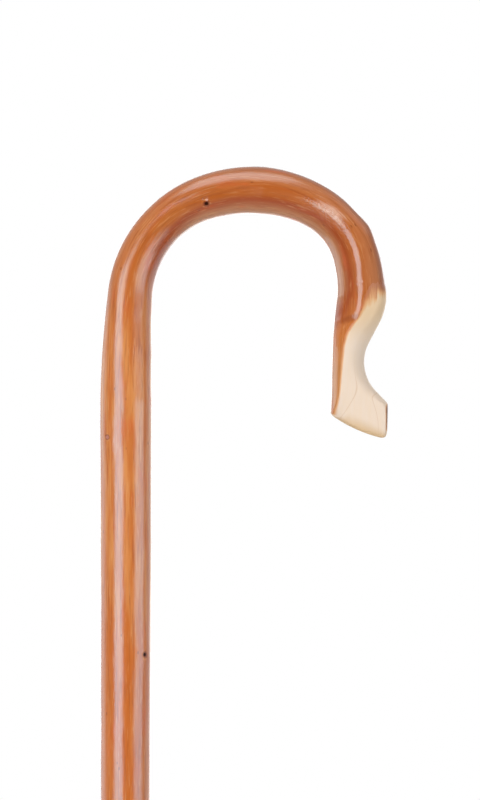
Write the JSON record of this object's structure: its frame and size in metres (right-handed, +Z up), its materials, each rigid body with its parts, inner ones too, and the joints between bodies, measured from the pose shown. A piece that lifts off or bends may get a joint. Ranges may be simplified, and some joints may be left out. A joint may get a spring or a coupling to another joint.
{
  "type": "shepherd crook",
  "caption": "One-piece bent chestnut stick with a wide hooked head and a carved nose, shod with a spiked metal ferrule that stands in a pull-off rubber foot.",
  "frame": {"origin": "centre of the rubber foot's ground face, on the shaft's axis", "axes": "+Z up the shaft, +X from the shaft towards the nose, Y through the thickness of the crook"},
  "size_m": [0.1544, 0.036, 1.2198],
  "materials": {
    "chestnut": "varnished bark-brown chestnut, bare pale wood at the carved nose",
    "collar_brass": "turned, lightly worn",
    "pin_brass": "domed pin heads",
    "spike_steel": "turned and zinc plated",
    "foot_rubber": "matt moulded",
    "washer_steel": "stamped"
  },
  "bodies": {
    "foot": {"rubber_foot": "foot_rubber", "foot_washer": "washer_steel"},
    "crook": {"stick": "chestnut", "ferrule_collar": "collar_brass", "collar_pins": "pin_brass", "spike": "spike_steel"}
  },
  "joints": [
    {"name": "foot_pull", "type": "slide", "parent": "foot", "child": "crook", "axis": [0, 0, 1], "range_m": [0, 0.05]}
  ]
}
